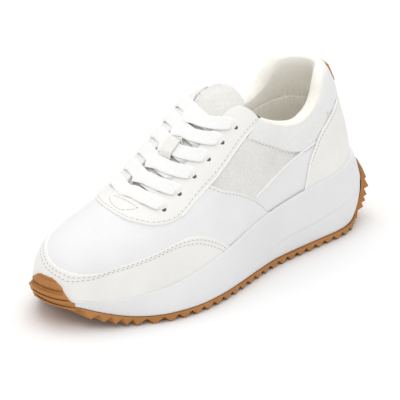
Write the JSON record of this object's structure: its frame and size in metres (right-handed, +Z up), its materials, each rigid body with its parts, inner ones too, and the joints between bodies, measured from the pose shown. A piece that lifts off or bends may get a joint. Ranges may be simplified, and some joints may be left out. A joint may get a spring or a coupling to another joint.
{
  "type": "platform sneaker",
  "caption": "Low lace-up platform sneaker with a hollow white upper, padded collar, thick foam midsole and gum rubber outsole with a sawtooth tread and toe bumper; left shoe.",
  "frame": {"origin": "middle of the underside of the bounding box", "axes": "+Z up, +Y towards the heel, +X towards the outer (lateral) side of the foot"},
  "size_m": [0.1002, 0.2764, 0.1176],
  "materials": {
    "gum_rubber": "matte gum",
    "foam": "matte moulded foam",
    "leather_white": "smooth matte",
    "lining": "soft knit",
    "knit": "fine knit",
    "lace": "flat woven cotton"
  },
  "bodies": {
    "root": {"outsole": "gum_rubber", "midsole": "foam", "upper": "leather_white", "collar_lining": "lining", "tongue": "knit", "insole": "lining", "lace_row_1": "lace", "lace_row_2": "lace", "lace_row_3": "lace", "lace_row_4": "lace", "lace_row_5": "lace", "lace_row_6": "lace", "lace_loop": "knit", "heel_tab": "gum_rubber"}
  },
  "joints": []
}
